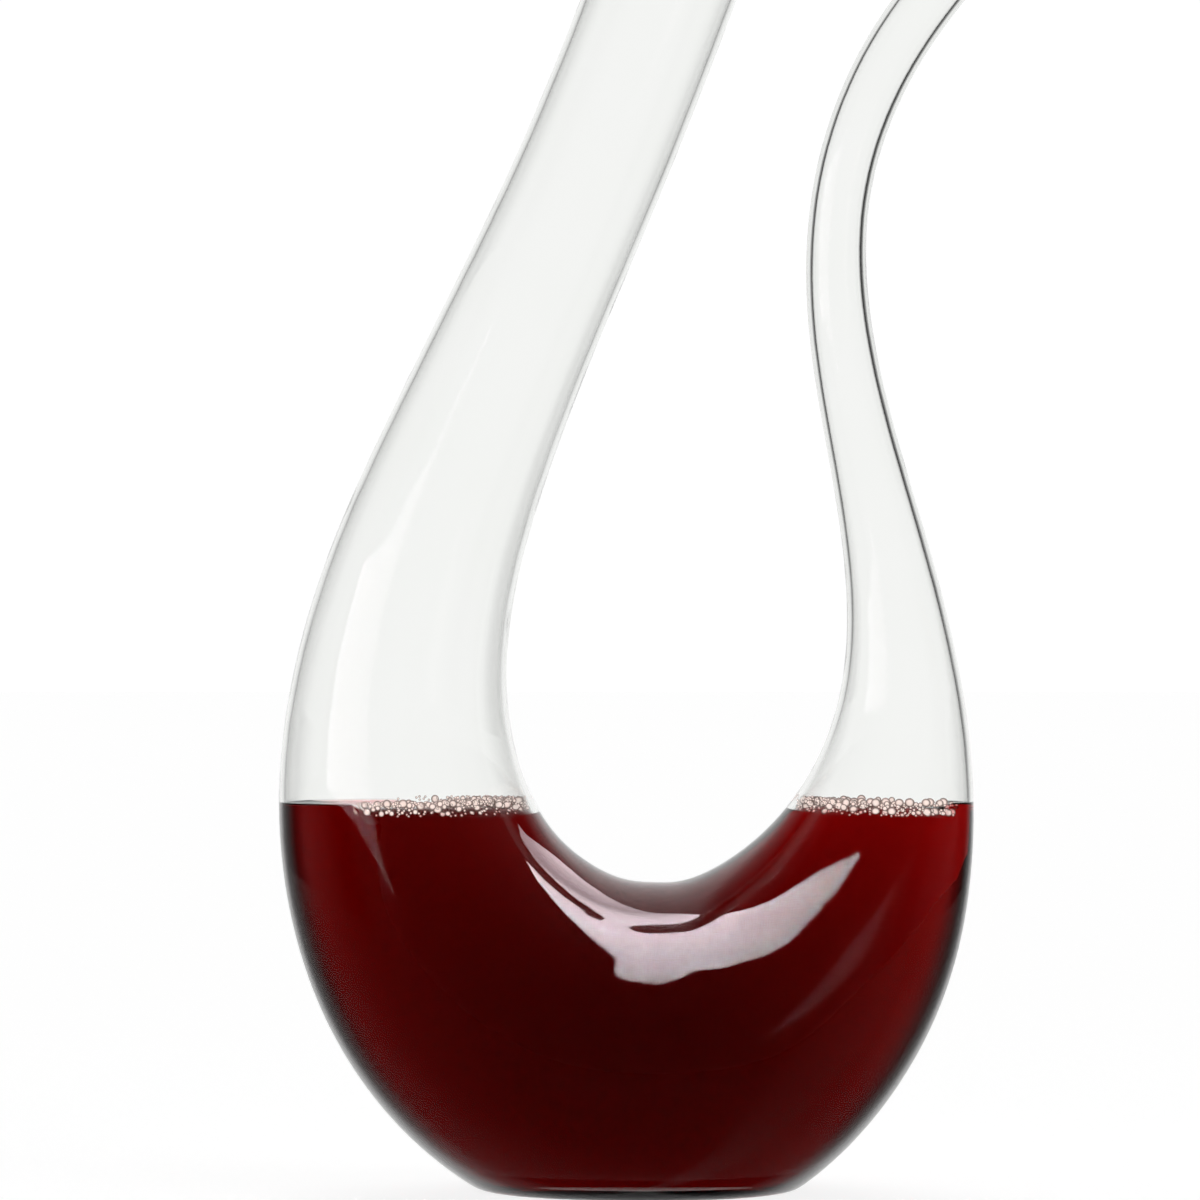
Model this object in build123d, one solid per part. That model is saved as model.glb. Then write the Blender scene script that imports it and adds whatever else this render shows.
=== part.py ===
from build123d import *

import os

# Red wine decanter: one blown glass tube, bent into a U. A wide limb for filling stands on the left (-X),
# a slender pouring limb on the right (+X), and a fat bowl joins them. The glass holds red wine with a
# raft of froth in each limb.
#
# Millimetres, +Z up, +X towards the pouring limb. The origin is the middle of the flat face it stands on.

# Ribs of the tube, evenly spaced from the wide mouth round the bowl to the pouring mouth. Each rib is a
# circle standing across the tube. Its diameter runs from the outer outline (first point) to the inner
# outline (second point), both given as (x, z) in the plane y = 0.
RIBS = [
    ((-6.0, 350.0), (32.5, 339.0)),
    ((-19.0, 316.5), (18.5, 302.0)),
    ((-33.0, 283.0), (4.0, 266.0)),
    ((-49.0, 249.5), (-10.5, 231.5)),
    ((-66.0, 215.0), (-23.5, 197.5)),
    ((-82.5, 178.5), (-33.0, 164.0)),
    ((-94.5, 138.0), (-35.0, 131.5)),
    ((-97.0, 90.5), (-27.0, 104.5)),
    ((-79.5, 36.5), (-14.5, 90.5)),
    ((-33.0, -5.0), (-3.5, 85.0)),
    ((30.5, -7.0), (6.0, 84.0)),
    ((76.0, 35.5), (18.5, 86.5)),
    ((91.5, 85.0), (39.0, 102.0)),
    ((90.5, 129.5), (54.5, 130.5)),
    ((82.0, 169.5), (57.5, 165.0)),
    ((71.5, 206.0), (52.5, 201.5)),
    ((64.0, 241.5), (47.0, 240.0)),
    ((65.0, 276.0), (49.5, 279.5)),
    ((78.0, 308.5), (64.0, 316.5)),
    ((99.0, 336.5), (88.0, 348.0)),
]

WALL = 1.7  # thickness of the blown wall
FLOOR = 3.5  # thickness of the glass under the wine
BASE_EDGE = 1.5  # rounding where the wall turns into the standing face
FLOOR_EDGE = 6.0  # rounding of the inside floor
LIP_EDGE = 0.7  # fire-polished rounding of both mouths

WINE_LEVEL = 105.0  # height of the wine above the standing face
FROTH_HEIGHT = 2.5  # height of the froth above the wine

NEAR = 0.01  # how far from a plane an edge may lie and still count as in it

# The froth leaves a round patch of bare wine in each limb: (x, y) of its middle, and its radius.
WIDE_LIMB_PATCH = ((-67.5, 2.5), 30.0)
POURING_LIMB_PATCH = ((71.5, 2.0), 18.5)


def rib_face(outer_point, inner_point, shrink):
    """A rib as a face, with its radius made smaller by shrink."""
    outer = Vector(outer_point[0], 0, outer_point[1])
    inner = Vector(inner_point[0], 0, inner_point[1])
    across = outer - inner
    section = Plane(
        origin=(outer + inner) / 2,
        x_dir=(0, 1, 0),
        z_dir=across.cross(Vector(0, 1, 0)),
    )
    return section * Circle(across.length / 2 - shrink)


def tube(shrink):
    """The whole bent tube as one smooth solid through its ribs."""
    return loft([rib_face(outer, inner, shrink) for outer, inner in RIBS])


def above(shape, height):
    return split(shape, Plane.XY.offset(height), keep=Keep.TOP)


def below(shape, height):
    return split(shape, Plane.XY.offset(height), keep=Keep.BOTTOM)


def edges_at(shape, height):
    """Edges that lie in the horizontal plane at this height."""
    return shape.edges().filter_by_position(Axis.Z, height - NEAR, height + NEAR)


def hollow():
    """The space inside the glass, with a flat floor that turns up into the wall."""
    space = above(tube(WALL), FLOOR)
    return fillet(edges_at(space, FLOOR), FLOOR_EDGE)


def glass_vessel(space):
    """The blown glass: a wall round the hollow, flat underneath and rounded at both mouths."""
    body = above(tube(0), 0)
    body = fillet(edges_at(body, 0), BASE_EDGE)
    body = body - space
    mouths = body.faces().filter_by(GeomType.PLANE).sort_by(Axis.Z)[-2:]
    return fillet(mouths.edges(), LIP_EDGE)


def wine(space):
    return below(space, WINE_LEVEL)


def froth(space, patch, side):
    """A crescent of froth on the wine in one limb, against the glass. Side is -1 for the limb at -X."""
    (x, y), radius = patch
    layer = below(above(space, WINE_LEVEL), WINE_LEVEL + FROTH_HEIGHT)
    layer = split(layer, Plane.YZ, keep=Keep.TOP if side > 0 else Keep.BOTTOM)
    bare_wine = Pos(x, y, WINE_LEVEL) * Cylinder(radius, 4 * FROTH_HEIGHT)
    return layer - bare_wine


space = hollow()
pieces = {
    "glass_vessel": glass_vessel(space),
    "wine": wine(space),
    "froth_wide_limb": froth(space, WIDE_LIMB_PATCH, -1),
    "froth_pouring_limb": froth(space, POURING_LIMB_PATCH, 1),
}

os.makedirs("parts", exist_ok=True)
for name, shape in pieces.items():
    export_step(shape, f"parts/{name}.step")
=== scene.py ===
import math

import bmesh
import bpy
import numpy as np
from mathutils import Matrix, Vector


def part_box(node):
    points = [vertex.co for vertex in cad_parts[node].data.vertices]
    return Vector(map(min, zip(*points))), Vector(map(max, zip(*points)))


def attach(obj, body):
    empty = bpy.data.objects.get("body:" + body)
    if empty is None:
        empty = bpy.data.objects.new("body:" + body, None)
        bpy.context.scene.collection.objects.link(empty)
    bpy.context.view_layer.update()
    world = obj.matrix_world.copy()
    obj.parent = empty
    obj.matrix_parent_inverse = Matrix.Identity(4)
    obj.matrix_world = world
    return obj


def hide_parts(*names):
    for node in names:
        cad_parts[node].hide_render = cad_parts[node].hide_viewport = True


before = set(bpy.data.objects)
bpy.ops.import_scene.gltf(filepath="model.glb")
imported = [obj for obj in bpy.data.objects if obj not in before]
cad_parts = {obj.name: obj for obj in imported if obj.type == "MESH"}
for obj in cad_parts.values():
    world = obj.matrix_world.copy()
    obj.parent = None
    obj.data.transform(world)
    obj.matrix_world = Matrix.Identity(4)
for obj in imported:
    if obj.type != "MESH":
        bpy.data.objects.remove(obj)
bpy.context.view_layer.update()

# Red wine decanter: one blown glass tube bent into a U, part filled with red wine, with froth in each limb.
# Lengths in the model are millimetres until MM turns them into Blender's metres.
# +Z is up and +X points to the slender pouring limb. The camera looks along +Y.

MM = 0.001

GLOSS = 0.05  # share of the usual reflection that the glass keeps where it is seen square on
GLASS_DENSITY = 45.0  # how strongly the glass and the wine tint what shines through them
WINE_DENSITY = 320.0

# Ribs of the tube, evenly spaced from the wide mouth round the bowl to the pouring mouth. Each rib is a
# circle standing across the tube, from the outer outline (x, z) to the inner outline (x, z).
RIBS = [
    ((-6.0, 350.0), (32.5, 339.0)),
    ((-19.0, 316.5), (18.5, 302.0)),
    ((-33.0, 283.0), (4.0, 266.0)),
    ((-49.0, 249.5), (-10.5, 231.5)),
    ((-66.0, 215.0), (-23.5, 197.5)),
    ((-82.5, 178.5), (-33.0, 164.0)),
    ((-94.5, 138.0), (-35.0, 131.5)),
    ((-97.0, 90.5), (-27.0, 104.5)),
    ((-79.5, 36.5), (-14.5, 90.5)),
    ((-33.0, -5.0), (-3.5, 85.0)),
    ((30.5, -7.0), (6.0, 84.0)),
    ((76.0, 35.5), (18.5, 86.5)),
    ((91.5, 85.0), (39.0, 102.0)),
    ((90.5, 129.5), (54.5, 130.5)),
    ((82.0, 169.5), (57.5, 165.0)),
    ((71.5, 206.0), (52.5, 201.5)),
    ((64.0, 241.5), (47.0, 240.0)),
    ((65.0, 276.0), (49.5, 279.5)),
    ((78.0, 308.5), (64.0, 316.5)),
    ((99.0, 336.5), (88.0, 348.0)),
]
LAST_RIB = len(RIBS) - 1

WALL = 1.7  # thickness of the blown wall
BASE_ROUNDING = 1.5  # the wall turns into the standing face over this height
FLOOR_ROUNDING = 5.0  # and into the inside floor over this height
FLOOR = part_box("wine")[0].z / MM  # height of the inside floor
WINE_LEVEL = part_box("wine")[1].z / MM

# Each limb crosses the wine's level between these two ribs.
WIDE_LIMB = (5.0, 9.0)
POURING_LIMB = (10.0, 14.0)

# The froth leaves a round patch of bare wine in each limb: (x, y) of its middle, and its radius.
WIDE_LIMB_PATCH = ((-67.5, 2.5), 30.0)
POURING_LIMB_PATCH = ((71.5, 2.0), 18.5)

# The froth lies between these two x, and its top slopes from the first height to the second, over the wine.
WIDE_LIMB_FROTH = ((-75.0, 1.6), (-20.0, 3.0))
POURING_LIMB_FROTH = ((38.0, 3.4), (84.5, -0.6))

COLUMNS = 128  # points round the tube
CROWDING = 0.6  # how much closer together they are along the outer outline, where the base is
FINE_STEP = 1.2  # space between rings of points along the base
COARSE_STEP = 4.0  # and everywhere else
LOW = 32.0  # the base's fine rings reach up to where the outer outline has this height
LIP_STEPS = 8  # steps round the rounded edge of a mouth


# ---------------------------------------------------------------- the shape of the tube

def smooth_curve(knots):
    """A natural cubic spline through the knots, as a function of the knot number."""
    knots = np.array(knots, float)
    count = len(knots)
    bands = 4 * np.eye(count) + np.eye(count, k=1) + np.eye(count, k=-1)
    bands[0] = np.eye(count)[0]
    bands[-1] = np.eye(count)[-1]
    bends = np.zeros_like(knots)
    bends[1:-1] = 6 * (knots[2:] - 2 * knots[1:-1] + knots[:-2])
    bends = np.linalg.solve(bands, bends)

    def at(t):
        t = np.asarray(t, float)
        low = np.clip(np.floor(t), 0, count - 2).astype(int)
        f = (t - low)[..., None]
        g = 1 - f
        straight = g * knots[low] + f * knots[low + 1]
        return straight + ((g**3 - g) * bends[low] + (f**3 - f) * bends[low + 1]) / 6

    return at


outer_outline = smooth_curve([outer for outer, inner in RIBS])
inner_outline = smooth_curve([inner for outer, inner in RIBS])


def on_tube(t, angle, inset):
    """Points inset from the tube's surface. t counts ribs, and angle runs round from the outer outline."""
    outer = outer_outline(t)
    inner = inner_outline(t)
    middle = (outer + inner) / 2
    half = (outer - inner) / 2
    radius = np.linalg.norm(half, axis=-1)
    reach = 1 - inset / radius
    x = middle[..., 0] + half[..., 0] * np.cos(angle) * reach
    y = radius * np.sin(angle) * reach
    z = middle[..., 1] + half[..., 1] * np.cos(angle) * reach
    return np.stack([x, y, z], axis=-1)


def flatten_below(points, height, rounding):
    """Presses points that lie below a height up onto it, with a rounded turn."""
    rise = points[..., 2] - height
    turn = (rise + rounding) ** 2 / (4 * rounding)
    pressed = np.where(rise > rounding, rise, np.where(rise < -rounding, 0, turn))
    flat = points.copy()
    flat[..., 2] = height + pressed
    return flat


def outside(t, angle):
    return flatten_below(on_tube(t, angle, 0), 0, BASE_ROUNDING)


def inside(t, angle, inset=WALL):
    return flatten_below(on_tube(t, angle, inset), FLOOR, FLOOR_ROUNDING)


def column_angles():
    even = np.arange(COLUMNS) / COLUMNS * math.tau
    return even - CROWDING * np.sin(even)


ANGLES = column_angles()


def stations(start, end):
    """Places along the tube, a fine step apart where the outer outline is low and a coarse one elsewhere."""
    places = [start]
    while places[-1] < end:
        t = places[-1]
        here = outer_outline(t)
        speed = np.linalg.norm(outer_outline(t + 0.01) - here) / 0.01
        step = FINE_STEP if here[1] < LOW else COARSE_STEP
        places.append(t + step / speed)
    places = np.array(places)
    return start + (places - start) * (end - start) / (places[-1] - start)


# ---------------------------------------------------------------- meshes

def make_object(name, vertices, faces, sharp=None):
    mesh = bpy.data.meshes.new(name)
    mesh.from_pydata([tuple(v) for v in np.array(vertices) * MM], [], faces)
    mesh.validate()
    mesh.shade_smooth()
    if sharp is not None:
        mesh.set_sharp_from_angle(angle=math.radians(sharp))
    obj = bpy.data.objects.new(name, mesh)
    bpy.context.scene.collection.objects.link(obj)
    return obj


def quads_between(first, second, count):
    """Quads between two rings of points, given the number of each ring's first point."""
    return [
        (first + i, first + (i + 1) % count, second + (i + 1) % count, second + i)
        for i in range(count)
    ]


def lip(t, turn):
    """The rounded edge of a mouth, from the outside (turn = 1) or from the inside (turn = -1)."""
    end = 0 if t < LAST_RIB / 2 else LAST_RIB
    outward = on_tube(end, ANGLES, WALL / 2) - on_tube(t, ANGLES, WALL / 2)
    rings = []
    for step in range(1, LIP_STEPS):
        around = step / LIP_STEPS * math.pi
        across = WALL / 2 - turn * WALL / 2 * math.cos(around)
        rings.append(on_tube(t, ANGLES, across) + outward * math.sin(around))
    return rings


def glass_vessel():
    """The blown glass: outside, pouring lip, inside and wide lip, as one closed skin of quads."""
    lip_start = WALL / 2 / np.linalg.norm(outer_outline(1) - outer_outline(0))
    lip_end = LAST_RIB - WALL / 2 / np.linalg.norm(outer_outline(LAST_RIB) - outer_outline(LAST_RIB - 1))
    places = stations(lip_start, lip_end)
    rings = [outside(t, ANGLES) for t in places]
    rings += lip(lip_end, 1)
    rings += [inside(t, ANGLES) for t in places[::-1]]
    rings += lip(lip_start, -1)
    faces = []
    for i in range(len(rings)):
        following = (i + 1) % len(rings)
        faces += quads_between(i * COLUMNS, following * COLUMNS, COLUMNS)
    return make_object("blown_glass", np.concatenate(rings), faces)


MENISCUS = 0.9  # how far the wine climbs the bare glass
FROTH_DIP = 3.2  # how far it falls back behind the froth
MENISCUS_REACH = 2.0  # how far from the glass this still shows
MENISCUS_EDGE = 2.0  # how far into the froth the wine's edge takes to fall
SURFACE_RINGS = (0.25, 0.6, 1.0, 1.5, 2.1, 2.8, 3.8, 5.2, 7.5, 11.0, 15.0)  # their distances from the glass
WALL_RINGS = 190  # rings of points on the wine's skin along the glass
SURFACE_ANGLE = 50  # the wine's surface meets its side in a sharp edge where they turn more than this
SOAK = 0.08  # the wine's skin lies this far inside the glass wall, so that no gap shows
HALVINGS = 40


def station_at_height(angle, height, low_t, high_t, inset):
    """Where along the tube the inside wall passes a height, by halving. One limb runs down, the other up."""
    falling = inside(np.full_like(angle, low_t), angle, inset)[..., 2] > height
    low = np.full_like(angle, low_t)
    high = np.full_like(angle, high_t)
    for _ in range(HALVINGS):
        middle = (low + high) / 2
        above = inside(middle, angle, inset)[..., 2] > height
        go_on = above == falling
        low = np.where(go_on, middle, low)
        high = np.where(go_on, high, middle)
    return (low + high) / 2


def into_froth(x, y, patch, raft):
    """How far a point lies inside the froth's edge, or outside it where negative."""
    (patch_x, patch_y), patch_radius = patch
    (left, _), (right, _) = raft
    from_patch = np.hypot(x - patch_x, y - patch_y) - patch_radius
    return np.minimum(from_patch, np.minimum(x - left, right - x))


def climb(limb, patch, raft):
    """How far the wine climbs the glass, all round a limb: up where it is bare and down behind the froth."""
    rim = inside(station_at_height(ANGLES, WINE_LEVEL, *limb, WALL), ANGLES)
    share = np.clip(into_froth(rim[:, 0], rim[:, 1], patch, raft) / MENISCUS_EDGE, 0, 1)
    return MENISCUS - (MENISCUS + FROTH_DIP) * share


def wine_surface(rim):
    """Rings from the rim inwards across the wine's surface, curving to its level away from the glass."""
    middle = rim.mean(axis=0)
    away = rim[:, :2] - middle[:2]
    radius = np.linalg.norm(away, axis=1, keepdims=True)
    rings = []
    for distance in SURFACE_RINGS:
        ring = rim.copy()
        scale = 1 - distance / radius
        ring[:, :2] = middle[:2] + away * scale
        ring[:, 2] = WINE_LEVEL + (rim[:, 2] - WINE_LEVEL) * math.exp(-distance / MENISCUS_REACH)
        rings.append(ring)
    return rings


def red_wine():
    """The wine: the inside of the glass up to the wine's level, with its edge curved all round each limb."""
    inset = WALL - SOAK
    left_rim = WINE_LEVEL + climb(WIDE_LIMB, WIDE_LIMB_PATCH, WIDE_LIMB_FROTH)
    right_rim = WINE_LEVEL + climb(POURING_LIMB, POURING_LIMB_PATCH, POURING_LIMB_FROTH)
    left = station_at_height(ANGLES, left_rim, *WIDE_LIMB, inset)
    right = station_at_height(ANGLES, right_rim, *POURING_LIMB, inset)
    shares = np.linspace(0, 1, WALL_RINGS)
    wall = [inside(left + share * (right - left), ANGLES, inset) for share in shares]
    rings = wine_surface(wall[0])[::-1] + wall + wine_surface(wall[-1])
    vertices = np.concatenate(rings)
    faces = []
    for i in range(len(rings) - 1):
        faces += quads_between(i * COLUMNS, (i + 1) * COLUMNS, COLUMNS)
    faces.append(tuple(range(COLUMNS))[::-1])
    last = (len(rings) - 1) * COLUMNS
    faces.append(tuple(range(last, last + COLUMNS)))
    return make_object("red_wine", vertices, faces, sharp=SURFACE_ANGLE)


BIGGEST_BUBBLE = 1.35  # radius
SMALLEST_BUBBLE = 0.38
SMALLNESS = 6  # the higher, the more of the bubbles are small
DETAILED_BUBBLE = 0.7  # bubbles with a larger radius than this have finer skins
ROUNDNESS = 0.88  # the shortest radius a bubble may have in one direction, as a share of its own
SQUEEZE = 0.84  # how close two bubbles may sit, as a share of their radii
LEAN = 0.75  # how close to the glass a bubble's middle may lie, as a share of its radius
FROTH_DEPTH = 3.0  # how far the froth hangs below the wine's level along the glass
WALL_BAND = 2.0  # and how far from the glass it does so
FLOATING_DEPTH = 0.3  # how far bubbles further in sit below the wine's level
RAGGED = 0.8  # how far bubbles stray from the froth's edge
TRIES = 9000  # bubbles tried in each limb


def round_skin(detail):
    """Corners and triangles of a ball with radius 1."""
    ball = bmesh.new()
    bmesh.ops.create_icosphere(ball, subdivisions=detail, radius=1.0)
    corners = np.array([vertex.co for vertex in ball.verts])
    triangles = np.array([[vertex.index for vertex in face.verts] for face in ball.faces])
    ball.free()
    return corners, triangles


def rim_finder(low_t, high_t):
    """The middle of a limb at the wine's level, and the distance to the glass in any bearing."""
    places = station_at_height(ANGLES, WINE_LEVEL, low_t, high_t, WALL)
    rim = inside(places, ANGLES)[:, :2]
    middle = rim.mean(axis=0)
    spokes = rim - middle
    bearings = np.arctan2(spokes[:, 1], spokes[:, 0])
    lengths = np.linalg.norm(spokes, axis=1)

    def reach(bearing):
        return np.interp(bearing, bearings, lengths, period=math.tau)

    return middle, reach


def pack_bubbles(chance, limb, patch, raft):
    """Puts bubbles down at random, big ones first, where they don't crowd the ones already there.

    Gives a row of x, y, z and radius for each of them.
    """
    middle, reach = rim_finder(*limb)
    (left, left_top), (right, right_top) = raft
    sizes = SMALLEST_BUBBLE + (BIGGEST_BUBBLE - SMALLEST_BUBBLE) * chance.random(TRIES) ** SMALLNESS
    packed = np.zeros((0, 4))
    for radius in np.sort(sizes)[::-1]:
        bearing = chance.uniform(-math.pi, math.pi)
        wall = float(reach(bearing))
        from_wall = wall * (1 - math.sqrt(chance.random()))
        out = wall - max(from_wall, LEAN * radius)
        x = middle[0] + out * math.cos(bearing)
        y = middle[1] + out * math.sin(bearing)
        if into_froth(x, y, patch, raft) < chance.uniform(-RAGGED, RAGGED):
            continue
        top = np.interp(x, (left, right), (left_top, right_top))
        bottom = -FROTH_DEPTH if from_wall < WALL_BAND else -FLOATING_DEPTH
        lowest = bottom + radius
        z = WINE_LEVEL + chance.uniform(lowest, max(top - radius, lowest))
        gaps = np.linalg.norm(packed[:, :3] - (x, y, z), axis=1)
        if np.all(gaps > SQUEEZE * (packed[:, 3] + radius)):
            packed = np.vstack([packed, (x, y, z, radius)])
    return packed


def froth(name, seed, limb, patch, raft):
    """A raft of bubbles against the glass in one limb."""
    chance = np.random.default_rng(seed)
    coarse = round_skin(2)
    fine = round_skin(3)
    vertices = []
    faces = []
    first = 0
    for x, y, z, radius in pack_bubbles(chance, limb, patch, raft):
        corners, triangles = fine if radius > DETAILED_BUBBLE else coarse
        stretch = radius * chance.uniform(ROUNDNESS, 1.0, 3)
        vertices.append(corners * stretch + (x, y, z))
        faces.append(triangles + first)
        first += len(corners)
    return make_object(name, np.concatenate(vertices), np.concatenate(faces).tolist())


# ---------------------------------------------------------------- materials

def new_material(name):
    material = bpy.data.materials.new(name)
    material.use_nodes = True
    return material


def set_inputs(node, **values):
    """Sets a node's input sockets. An underscore in a name stands for a space."""
    for name, value in values.items():
        node.inputs[name.replace("_", " ")].default_value = value


def absorb(material, color, density):
    """Fills the solid with a tint that deepens with the length of the way through it."""
    nodes = material.node_tree.nodes
    tint = nodes.new("ShaderNodeVolumeAbsorption")
    set_inputs(tint, Color=color, Density=density)
    material.node_tree.links.new(tint.outputs["Volume"], nodes["Material Output"].inputs["Volume"])


def noise(material, size):
    """Soft noise in patches of a size in metres, fixed to the object."""
    nodes = material.node_tree.nodes
    place = nodes.new("ShaderNodeTexCoord")
    pattern = nodes.new("ShaderNodeTexNoise")
    set_inputs(pattern, Scale=1 / size, Detail=2.0)
    material.node_tree.links.new(place.outputs["Object"], pattern.inputs["Vector"])
    return pattern.outputs["Fac"]


def mottle(material, socket, size, first, second):
    """Lets a colour of the surface wander between two tones."""
    mix = material.node_tree.nodes.new("ShaderNodeMix")
    mix.data_type = "RGBA"
    mix.inputs["A"].default_value = (*first, 1)
    mix.inputs["B"].default_value = (*second, 1)
    links = material.node_tree.links
    links.new(noise(material, size), mix.inputs["Factor"])
    links.new(mix.outputs["Result"], material.node_tree.nodes["Principled BSDF"].inputs[socket])


def ripple(material, size, depth):
    """Gives the surface low waves of a size and a depth in metres."""
    nodes = material.node_tree.nodes
    bump = nodes.new("ShaderNodeBump")
    set_inputs(bump, Strength=1.0, Distance=depth)
    links = material.node_tree.links
    links.new(noise(material, size), bump.inputs["Height"])
    links.new(bump.outputs["Normal"], nodes["Principled BSDF"].inputs["Normal"])


def clear_glass():
    """Clear blown glass with faint waves, and a faint grey-green tint that shows at its edges."""
    material = new_material("clear_glass")
    surface = material.node_tree.nodes["Principled BSDF"]
    set_inputs(
        surface,
        Transmission_Weight=1.0,
        Roughness=0.0,
        IOR=1.5,
        Specular_Tint=(GLOSS, GLOSS, GLOSS, 1),
    )
    mottle(material, "Base Color", 0.03, (1.0, 1.0, 1.0), (0.985, 0.99, 0.98))
    ripple(material, 0.025, 0.00015)
    absorb(material, (0.30, 0.33, 0.27, 1), GLASS_DENSITY)
    return material


def wine_material():
    """Deep red wine: it lets through only red, and little of that."""
    material = new_material("red_wine")
    surface = material.node_tree.nodes["Principled BSDF"]
    set_inputs(
        surface,
        Transmission_Weight=1.0,
        Roughness=0.0,
        IOR=1.34,
        Specular_Tint=(0.0, 0.0, 0.0, 1),
    )
    mottle(material, "Base Color", 0.02, (1.0, 1.0, 1.0), (0.97, 0.94, 0.94))
    absorb(material, (0.88, 0.0, 0.0, 1), WINE_DENSITY)
    return material


def froth_material():
    """Wet bubbles with a painted glow: pale cream in the middle, where light comes through, and dark where
    they turn away. The glow is painted light that stands in for light scattered through the froth.
    """
    material = new_material("froth")
    nodes = material.node_tree.nodes
    links = material.node_tree.links
    surface = nodes["Principled BSDF"]
    set_inputs(surface, Transmission_Weight=0.2, Roughness=0.05, IOR=1.33)
    mottle(material, "Base Color", 0.0015, (0.42, 0.34, 0.30), (0.16, 0.09, 0.08))
    # Painted light: the colour of the bubbles' glow wanders at random between cream and pink.
    mottle(material, "Emission Color", 0.0020, (1.0, 0.95, 0.90), (0.95, 0.78, 0.72))
    # Painted light and shade: the glow is strongest where a bubble faces the camera and fades to dark at its
    # edge.
    film = nodes.new("ShaderNodeLayerWeight")
    set_inputs(film, Blend=0.5)
    painted_glow = nodes.new("ShaderNodeMapRange")
    painted_glow.interpolation_type = "SMOOTHSTEP"
    set_inputs(painted_glow, From_Min=0.08, From_Max=0.42, To_Min=0.66, To_Max=0.0)
    links.new(film.outputs["Facing"], painted_glow.inputs["Value"])
    links.new(painted_glow.outputs["Result"], surface.inputs["Emission Strength"])
    return material


def floor_material():
    """Pale and matt, with a glow of its own that makes it as white as the backdrop."""
    material = new_material("pale_floor")
    surface = material.node_tree.nodes["Principled BSDF"]
    set_inputs(
        surface,
        Base_Color=(0.5, 0.5, 0.5, 1),
        Roughness=0.9,
        Emission_Color=(1, 1, 1, 1),
        Emission_Strength=0.855,
        Specular_IOR_Level=0.0,
    )
    return material


# ---------------------------------------------------------------- the object

glass = glass_vessel()
glass.data.materials.append(clear_glass())
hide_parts("glass_vessel")
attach(glass, "root")

wine = red_wine()
wine.data.materials.append(wine_material())
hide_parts("wine")
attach(wine, "root")


bubbles = froth_material()
wide_froth = froth(
    "froth_left",
    seed=11,
    limb=WIDE_LIMB,
    patch=WIDE_LIMB_PATCH,
    raft=WIDE_LIMB_FROTH,
)
wide_froth.data.materials.append(bubbles)
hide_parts("froth_wide_limb")
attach(wide_froth, "root")

pouring_froth = froth(
    "froth_right",
    seed=12,
    limb=POURING_LIMB,
    patch=POURING_LIMB_PATCH,
    raft=POURING_LIMB_FROTH,
)
pouring_froth.data.materials.append(bubbles)
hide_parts("froth_pouring_limb")
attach(pouring_froth, "root")


# ---------------------------------------------------------------- stage, light and camera

TABLE = (0.6, 0.9)  # half the table's width and depth, in metres
FLOOR_REACH = 60.0  # half the side of the floor round it
TABLE_HEIGHT = -0.0001  # both lie just under the decanter
FLOOR_HEIGHT = -0.0005


def pale_sheet(name, half_width, half_depth, height):
    corners = [
        (-half_width, -half_depth, height),
        (half_width, -half_depth, height),
        (half_width, half_depth, height),
        (-half_width, half_depth, height),
    ]
    mesh = bpy.data.meshes.new(name)
    mesh.from_pydata(corners, [], [(0, 1, 2, 3)])
    mesh.materials.append(floor_material())
    sheet = bpy.data.objects.new(name, mesh)
    bpy.context.scene.collection.objects.link(sheet)
    return sheet


def pale_floor():
    """A pale table top that no reflection shows, and a floor round it that doesn't show in the glass."""
    table = pale_sheet("table_top", *TABLE, TABLE_HEIGHT)
    table.visible_glossy = False
    beyond = pale_sheet("pale_floor", FLOOR_REACH, FLOOR_REACH, FLOOR_HEIGHT)
    beyond.visible_glossy = False
    beyond.visible_transmission = False


# Tones of the studio by bearing in degrees: 0 is behind the decanter, 90 is to its right. What shines through
# the glass is white straight behind it and dark to either side, which draws dark lines along its edges. It is
# white again to the sides and in front, so that the glass looks clear from there too.
SEEN_THROUGH = [
    (-180, 1.0),
    (-130, 1.0),
    (-122, 0.05),
    (-114, 0.05),
    (-104, 1.02),
    (-76, 1.02),
    (-62, 0.05),
    (-53, 0.04),
    (-45, 0.14),
    (-37, 0.40),
    (-30, 0.90),
    (-26, 1.02),
    (26, 1.02),
    (30, 0.90),
    (37, 0.40),
    (45, 0.12),
    (53, 0.04),
    (62, 0.05),
    (76, 1.02),
    (104, 1.02),
    (114, 0.05),
    (122, 0.05),
    (130, 1.0),
    (180, 1.0),
]
# What the glass reflects is bright behind it, a little lighter on the right, and dark elsewhere.
REFLECTED = [
    (-60, 0.04),
    (-37, 0.40),
    (-26, 1.02),
    (26, 1.02),
    (37, 0.40),
    (53, 0.04),
    (104, 0.04),
    (110, 0.35),
    (136, 0.50),
    (141, 0.02),
]
BACKDROP = 1.02  # what the camera itself sees behind the decanter


def tones_by_bearing(tree, bearing, tones):
    """Greys from a table of bearings, for a bearing given as a share of the way round from -180 degrees."""
    ramp = tree.nodes.new("ShaderNodeValToRGB")
    tree.links.new(bearing, ramp.inputs["Fac"])
    elements = ramp.color_ramp.elements
    while len(elements) < len(tones):
        elements.new(0.5)
    for element, (degrees, tone) in zip(elements, tones):
        element.position = (degrees + 180) / 360
        element.color = (tone, tone, tone, 1)
    return ramp.outputs["Color"]


def choose(tree, flag, otherwise, chosen):
    """One colour where the flag is set and another where it isn't. The chosen one may be a plain grey."""
    mix = tree.nodes.new("ShaderNodeMix")
    mix.data_type = "RGBA"
    tree.links.new(flag, mix.inputs["Factor"])
    tree.links.new(otherwise, mix.inputs["A"])
    if isinstance(chosen, float):
        mix.inputs["B"].default_value = (chosen, chosen, chosen, 1)
    else:
        tree.links.new(chosen, mix.inputs["B"])
    return mix.outputs["Result"]


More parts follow.
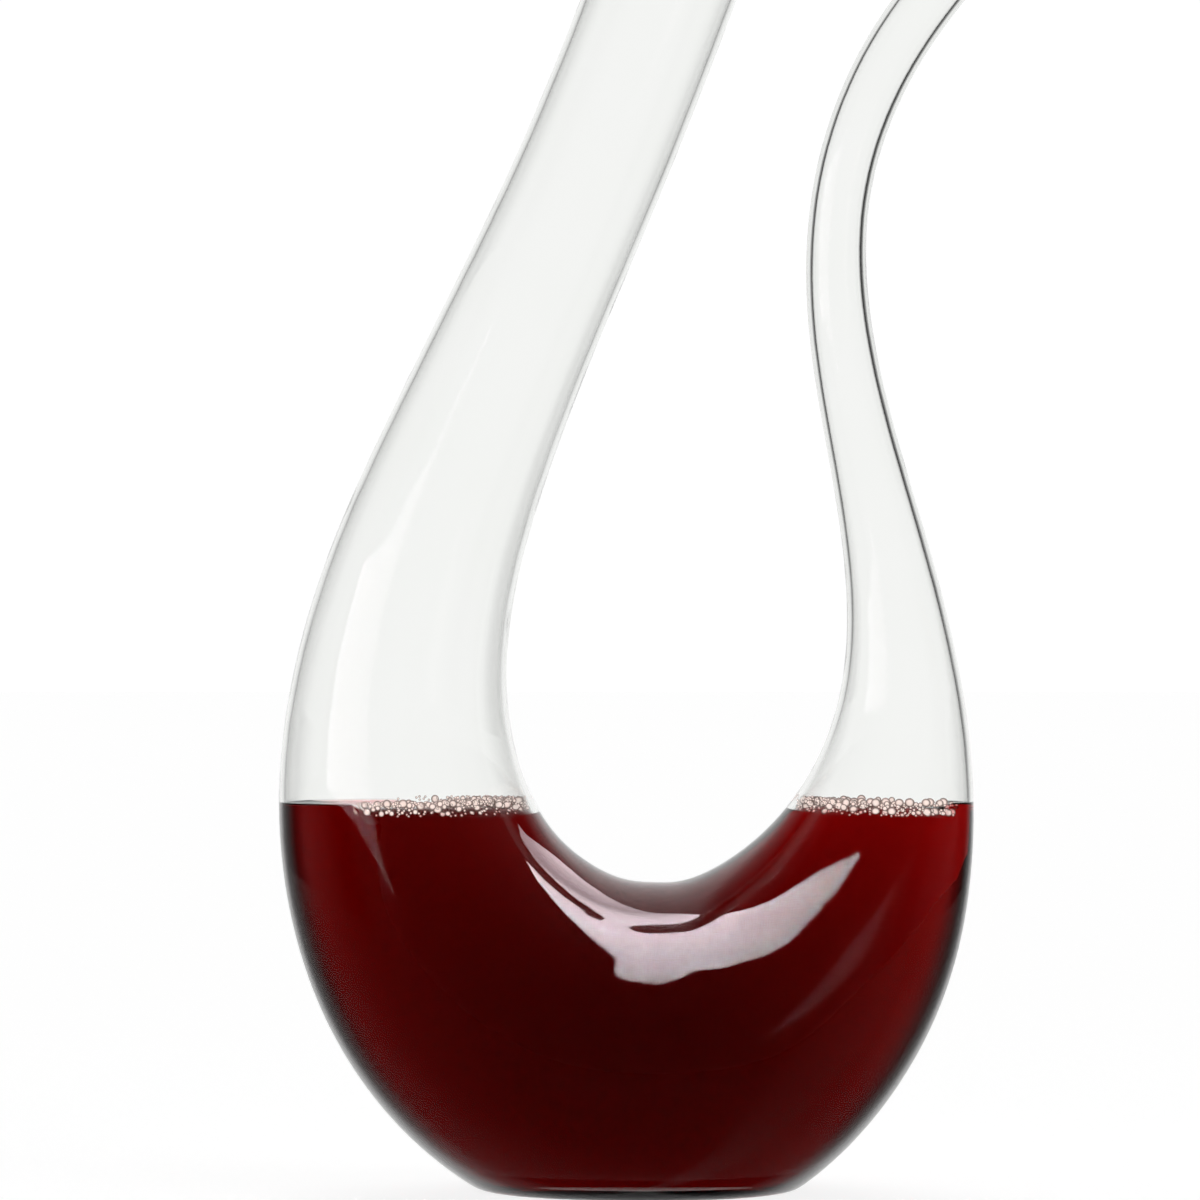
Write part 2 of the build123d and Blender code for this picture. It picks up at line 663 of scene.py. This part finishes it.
def studio_world():
    """A white backdrop for the camera, and different surroundings for refraction and for reflection."""
    world = bpy.data.worlds.new("studio")
    bpy.context.scene.world = world
    world.use_nodes = True
    tree = world.node_tree
    nodes = tree.nodes
    links = tree.links
    coordinates = nodes.new("ShaderNodeTexCoord")
    split = nodes.new("ShaderNodeSeparateXYZ")
    links.new(coordinates.outputs["Generated"], split.inputs["Vector"])
    angle = nodes.new("ShaderNodeMath")
    angle.operation = "ARCTAN2"
    links.new(split.outputs["X"], angle.inputs[0])
    links.new(split.outputs["Y"], angle.inputs[1])
    bearing = nodes.new("ShaderNodeMapRange")
    set_inputs(bearing, From_Min=-math.pi, From_Max=math.pi)
    links.new(angle.outputs["Value"], bearing.inputs["Value"])

    light_path = nodes.new("ShaderNodeLightPath")
    reflected = tones_by_bearing(tree, bearing.outputs["Result"], REFLECTED)
    seen_through = tones_by_bearing(tree, bearing.outputs["Result"], SEEN_THROUGH)
    surroundings = choose(tree, light_path.outputs["Is Transmission Ray"], reflected, seen_through)
    tone = choose(tree, light_path.outputs["Is Camera Ray"], surroundings, BACKDROP)
    links.new(tone, nodes["Background"].inputs["Color"])


def glow_material(name, glow):
    """A faintly pink light panel."""
    material = new_material(name)
    surface = material.node_tree.nodes["Principled BSDF"]
    set_inputs(
        surface,
        Base_Color=(0, 0, 0, 1),
        Emission_Color=(1.0, 0.88, 0.94, 1),
        Emission_Strength=glow,
    )
    return material


def only_reflected(name, corners, faces, material):
    """A light panel that nothing but reflections shows."""
    mesh = bpy.data.meshes.new(name)
    mesh.from_pydata(corners, [], faces)
    mesh.materials.append(material)
    panel = bpy.data.objects.new(name, mesh)
    bpy.context.scene.collection.objects.link(panel)
    panel.visible_camera = False
    panel.visible_diffuse = False
    panel.visible_transmission = False
    panel.visible_shadow = False


# The bright arch overhead, from its back end on the right, round the left, to its front end: where its two
# edges cross a ceiling one unit up. The decanter's belly reflects it as a crescent.
ARCH_NEAR_EDGE = [
    (1.40, 0.62),
    (0.99, 0.20),
    (0.74, 0.02),
    (0.45, -0.12),
    (0.24, -0.25),
    (0.13, -0.42),
    (0.11, -0.62),
    (0.03, -0.80),
    (-0.01, -1.20),
]
ARCH_FAR_EDGE = [
    (1.46, 0.66),
    (1.17, 0.75),
    (0.86, 1.00),
    (0.54, 0.81),
    (0.02, 0.38),
    (-0.27, 0.0),
    (-0.37, -0.30),
    (-0.34, -0.70),
    (-0.05, -1.20),
]
ARCH_HEIGHT = 1.3  # metres
ARCH_STEPS = 80
ARCH_GLOW = 145.0
ARCH_BACK = 0.06  # how much of its glow is left at the back
ARCH_FADE = (-0.9, 0.5)  # the y, in metres, where it starts to fade and where it stops


# Soft boxes that the front of the limbs reflects as streaks: the bearings of their two edges in degrees (0 is
# towards the camera, 90 to its right), the heights of their bottom and top in metres, and their glow.
SOFT_BOXES = [
    (-72, -30, 0.25, 0.80, 19.0),
    (29, 42, 0.16, 0.50, 6.0),
]
SOFT_BOX_DISTANCE = 1.5  # metres
SOFT_BOX_POINTS = 9  # points along the curve of each


def soft_boxes():
    """Upright curved panels in front of the decanter. Only reflections show them."""
    for number, (start, end, bottom, top, glow) in enumerate(SOFT_BOXES):
        bearings = np.radians(np.linspace(start, end, SOFT_BOX_POINTS))
        corners = [
            (SOFT_BOX_DISTANCE * math.sin(bearing), -SOFT_BOX_DISTANCE * math.cos(bearing), height)
            for height in (bottom, top)
            for bearing in bearings
        ]
        across = len(bearings)
        faces = [(i, i + 1, across + i + 1, across + i) for i in range(across - 1)]
        name = f"soft_box_{number}"
        only_reflected(name, corners, faces, glow_material(name, glow))


def bright_arch():
    """A curved soft light overhead, dimmer towards the back. Only reflections show it."""
    near = smooth_curve(ARCH_NEAR_EDGE)
    far = smooth_curve(ARCH_FAR_EDGE)
    places = np.linspace(0, len(ARCH_NEAR_EDGE) - 1, ARCH_STEPS + 1)
    edges = np.concatenate([near(places), far(places)]) * ARCH_HEIGHT
    corners = [(x, y, ARCH_HEIGHT) for x, y in edges]
    across = len(places)
    faces = [(i, i + 1, across + i + 1, across + i) for i in range(ARCH_STEPS)]
    material = glow_material("arch", ARCH_GLOW)
    nodes = material.node_tree.nodes
    links = material.node_tree.links
    place = nodes.new("ShaderNodeTexCoord")
    split = nodes.new("ShaderNodeSeparateXYZ")
    fade = nodes.new("ShaderNodeMapRange")
    set_inputs(
        fade,
        From_Min=ARCH_FADE[0],
        From_Max=ARCH_FADE[1],
        To_Min=ARCH_GLOW,
        To_Max=ARCH_GLOW * ARCH_BACK,
    )
    links.new(place.outputs["Object"], split.inputs["Vector"])
    links.new(split.outputs["Y"], fade.inputs["Value"])
    links.new(fade.outputs["Result"], nodes["Principled BSDF"].inputs["Emission Strength"])
    only_reflected("bright_arch", corners, faces, material)


CAMERA_PLACE = (-0.0099, -1.33, 0.139)  # metres
CAMERA_TILT = 90.956  # degrees: 90 is level, and more looks up
FILM_WIDTH = 36.0  # millimetres, as is the lens
LENS = 145.635


def front_camera():
    """Level with the wine, seen from in front, close enough to cut off both mouths."""
    data = bpy.data.cameras.new("front_camera")
    data.sensor_width = FILM_WIDTH
    data.lens = LENS
    camera = bpy.data.objects.new("front_camera", data)
    bpy.context.scene.collection.objects.link(camera)
    camera.location = CAMERA_PLACE
    camera.rotation_euler = (math.radians(CAMERA_TILT), 0, 0)
    bpy.context.scene.camera = camera


pale_floor()
bright_arch()
soft_boxes()
studio_world()
front_camera()

scene = bpy.context.scene
scene.view_settings.view_transform = "Standard"
scene.cycles.max_bounces = 32
scene.cycles.transmission_bounces = 32
scene.cycles.glossy_bounces = 12
